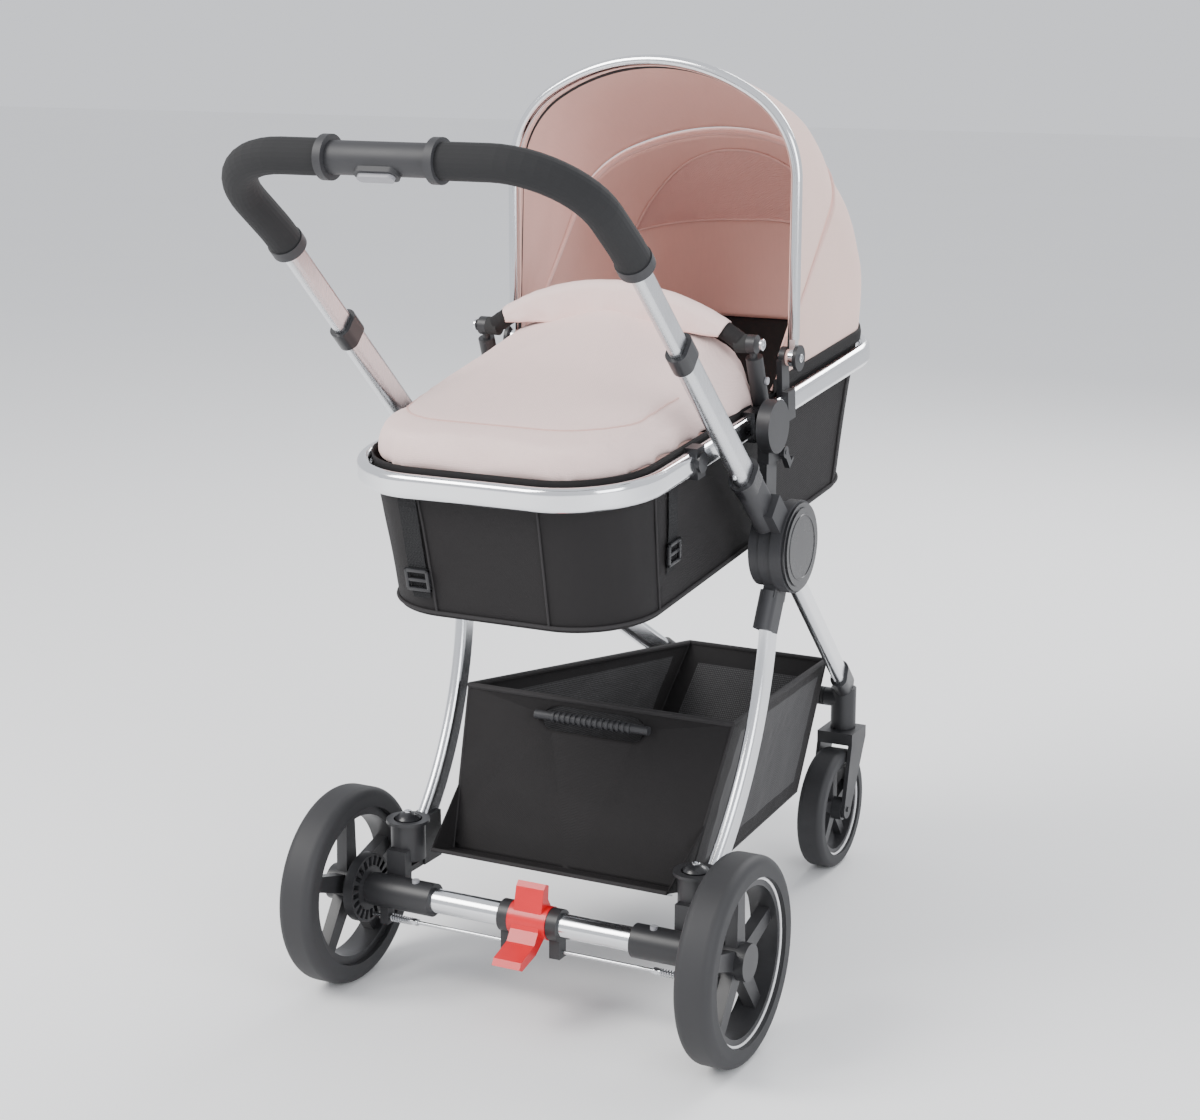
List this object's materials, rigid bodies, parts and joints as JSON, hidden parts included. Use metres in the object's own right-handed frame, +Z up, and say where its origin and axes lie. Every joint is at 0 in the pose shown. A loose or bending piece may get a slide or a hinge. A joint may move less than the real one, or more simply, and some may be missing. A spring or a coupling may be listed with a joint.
{
  "type": "baby stroller",
  "caption": "Folding pram with carrycot, hood, bumper bar, swivelling front wheels, sprung rear axle, foot brake, basket and telescopic push handle.",
  "frame": {"origin": "on the floor, under the middle of the box around the pram", "axes": "X runs across the pram, +Y points to the front wheels and +Z up"},
  "size_m": [0.611, 1.12, 1.2075],
  "materials": {
    "leg_aluminium": "brushed satin aluminium",
    "chrome": "bright chrome plate",
    "frame_plastic": "satin black moulding",
    "bush_rubber": "matte black rubber",
    "steel": "bright turned steel",
    "button_plastic": "grey semi-gloss moulding",
    "grip_plastic": "fine matte moulding",
    "foam": "fine-celled black foam",
    "pedal_red": "semi-gloss red moulding",
    "rim_plastic": "satin black with a pale ring",
    "tyre": "matte foam-filled tyre",
    "black_cloth": "black woven polyester",
    "pink_cloth": "pale pink woven polyester",
    "hood_cloth": "pale pink woven polyester"
  },
  "bodies": {
    "chassis": {"front_legs": "leg_aluminium", "castor_housings": "frame_plastic", "front_cross_bar": "frame_plastic", "cross_bar_bushes": "bush_rubber", "hub_inner_housings": "frame_plastic", "seat_posts": "frame_plastic", "basket": "black_cloth", "basket_grab_bar": "bush_rubber"},
    "rear_legs": {"rear_leg_tubes": "leg_aluminium", "rear_leg_hubs": "frame_plastic", "leg_shoes": "frame_plastic", "spring_domes": "frame_plastic"},
    "rear_axle": {"axle_tube": "leg_aluminium", "axle_housings": "frame_plastic", "pedal_brackets": "frame_plastic", "stub_axles": "steel", "axle_springs": "steel"},
    "brake_pedal": {"brake_pedal": "pedal_red"},
    "brake_pin_left": {"brake_rod_left": "steel"},
    "brake_pin_right": {"brake_rod_right": "steel"},
    "wheel_release": {"wheel_release_buttons": "button_plastic"},
    "rear_wheel_left": {"rear_rim_left": "rim_plastic", "rear_tyre_left": "tyre"},
    "rear_wheel_right": {"rear_rim_right": "rim_plastic", "rear_tyre_right": "tyre"},
    "castor_left": {"castor_fork_left": "frame_plastic"},
    "castor_right": {"castor_fork_right": "frame_plastic"},
    "front_wheel_left": {"front_rim_left": "rim_plastic", "front_tyre_left": "tyre"},
    "front_wheel_right": {"front_rim_right": "rim_plastic", "front_tyre_right": "tyre"},
    "push_arms": {"push_tubes": "leg_aluminium", "arm_hubs": "frame_plastic", "hub_caps": "frame_plastic", "telescope_collars": "frame_plastic", "snap_buttons": "steel"},
    "fold_collars": {"fold_collars": "frame_plastic"},
    "handle": {"handle_tube": "leg_aluminium", "handle_foam": "foam", "foam_collars": "frame_plastic", "handle_grip": "grip_plastic"},
    "handle_button": {"handle_button": "button_plastic"},
    "seat_hubs": {"seat_discs": "frame_plastic"},
    "seat_levers": {"seat_levers": "frame_plastic"},
    "carrycot": {"seat_ring": "chrome", "ring_clips": "frame_plastic", "carrycot_body": "black_cloth", "mattress": "pink_cloth", "apron": "pink_cloth", "straps": "black_cloth", "bumper_posts": "frame_plastic", "hood_pivots": "frame_plastic", "hood_back_panel": "hood_cloth"},
    "bumper_button_left": {"bumper_button_left": "button_plastic"},
    "bumper_button_right": {"bumper_button_right": "button_plastic"},
    "bumper": {"bumper_bar": "black_cloth", "bumper_flap": "pink_cloth"},
    "hood_mid": {"hood_rib": "steel"},
    "hood_front": {"hood_bow": "chrome", "hood_front_panel": "hood_cloth"}
  },
  "joints": [
    {"name": "handle_fold", "type": "hinge", "parent": "chassis", "child": "push_arms", "pos_m": [0, 0.03395, 0.597], "axis": [1, 0, 0], "range_deg": [0, 70]},
    {"name": "rear_leg_fold", "type": "hinge", "parent": "chassis", "child": "rear_legs", "pos_m": [0, 0.03395, 0.597], "axis": [1, 0, 0], "range_deg": [0, 35], "deforming": ["basket"]},
    {"name": "suspension", "type": "slide", "parent": "rear_legs", "child": "rear_axle", "axis": [0, 0, 1], "range_m": [0, 0.01], "stiffness_N_per_m": 8000, "springref_m": -0.015, "deforming": ["axle_springs"]},
    {"name": "rear_wheel_left_spin", "type": "hinge", "parent": "rear_axle", "child": "rear_wheel_left", "pos_m": [-0.281, -0.21605, 0.132], "axis": [1, 0, 0], "continuous": true},
    {"name": "rear_wheel_right_spin", "type": "hinge", "parent": "rear_axle", "child": "rear_wheel_right", "pos_m": [0.281, -0.21605, 0.132], "axis": [1, 0, 0], "continuous": true},
    {"name": "brake_pedal_tilt", "type": "hinge", "parent": "rear_axle", "child": "brake_pedal", "pos_m": [0, -0.21605, 0.132], "axis": [1, 0, 0], "range_deg": [0, 20]},
    {"name": "brake_pin_left_slide", "type": "slide", "parent": "rear_axle", "child": "brake_pin_left", "axis": [-1, 0, 0], "range_m": [0, 0.008], "deforming": ["axle_springs"]},
    {"name": "brake_pin_right_slide", "type": "slide", "parent": "rear_axle", "child": "brake_pin_right", "axis": [1, 0, 0], "range_m": [0, 0.008], "deforming": ["axle_springs"]},
    {"name": "wheel_release_press", "type": "slide", "parent": "rear_axle", "child": "wheel_release", "axis": [0, 0, -1], "range_m": [0, 0.003], "stiffness_N_per_m": 600, "springref_m": -0.002},
    {"name": "castor_left_swivel", "type": "hinge", "parent": "chassis", "child": "castor_left", "pos_m": [-0.1365, 0.51495, 0.2], "axis": [0, 0, 1], "continuous": true},
    {"name": "castor_right_swivel", "type": "hinge", "parent": "chassis", "child": "castor_right", "pos_m": [0.1365, 0.51495, 0.2], "axis": [0, 0, 1], "continuous": true},
    {"name": "front_wheel_left_spin", "type": "hinge", "parent": "castor_left", "child": "front_wheel_left", "pos_m": [-0.1365, 0.46995, 0.09], "axis": [1, 0, 0], "continuous": true},
    {"name": "front_wheel_right_spin", "type": "hinge", "parent": "castor_right", "child": "front_wheel_right", "pos_m": [0.1365, 0.46995, 0.09], "axis": [1, 0, 0], "continuous": true},
    {"name": "fold_collars_slide", "type": "slide", "parent": "push_arms", "child": "fold_collars", "axis": [0, -0.7254, 0.6884], "range_m": [0, 0.012], "stiffness_N_per_m": 900, "springref_m": -0.004},
    {"name": "handle_extend", "type": "slide", "parent": "push_arms", "child": "handle", "axis": [0, -0.7254, 0.6884], "range_m": [0, 0.1]},
    {"name": "handle_button_press", "type": "slide", "parent": "handle", "child": "handle_button", "axis": [0, 0.6018, 0.7986], "range_m": [0, 0.0025], "stiffness_N_per_m": 800, "springref_m": 0.003},
    {"name": "seat_lift", "type": "slide", "parent": "chassis", "child": "seat_hubs", "axis": [0, 0, 1], "range_m": [0, 0.15]},
    {"name": "carrycot_recline", "type": "hinge", "parent": "seat_hubs", "child": "carrycot", "pos_m": [0, 0.01295, 0.754], "axis": [1, 0, 0], "range_deg": [0, 15]},
    {"name": "seat_levers_lift", "type": "hinge", "parent": "seat_hubs", "child": "seat_levers", "pos_m": [0, 0.04395, 0.716], "axis": [1, 0, 0], "range_deg": [0, 15], "stiffness_Nm_per_rad": 0.6, "springref_deg": -14.32},
    {"name": "bumper_swing", "type": "hinge", "parent": "carrycot", "child": "bumper", "pos_m": [0, 0.01525, 0.8557], "axis": [-1, 0, 0], "range_deg": [0, 35]},
    {"name": "bumper_button_left_press", "type": "slide", "parent": "carrycot", "child": "bumper_button_left", "axis": [1, 0, 0], "range_m": [0, 0.003], "stiffness_N_per_m": 500, "springref_m": -0.002},
    {"name": "bumper_button_right_press", "type": "slide", "parent": "carrycot", "child": "bumper_button_right", "axis": [-1, 0, 0], "range_m": [0, 0.003], "stiffness_N_per_m": 500, "springref_m": -0.002},
    {"name": "hood_mid_fold", "type": "hinge", "parent": "carrycot", "child": "hood_mid", "pos_m": [0, 0.1196, 0.82555], "axis": [-1, 0, 0], "range_deg": [0, 34], "deforming": ["hood_back_panel"]},
    {"name": "hood_front_fold", "type": "hinge", "parent": "hood_mid", "child": "hood_front", "pos_m": [0, 0.1196, 0.82555], "axis": [-1, 0, 0], "range_deg": [0, 19.72], "deforming": ["hood_front_panel"]}
  ],
  "couplings": [
    {"joint": "rear_leg_fold", "follows": "handle_fold", "ratio": 0.5},
    {"joint": "brake_pin_left_slide", "follows": "brake_pedal_tilt", "m_per_rad": 0.022918},
    {"joint": "brake_pin_right_slide", "follows": "brake_pedal_tilt", "m_per_rad": 0.022918},
    {"joint": "hood_front_fold", "follows": "hood_mid_fold", "ratio": 0.58}
  ]
}
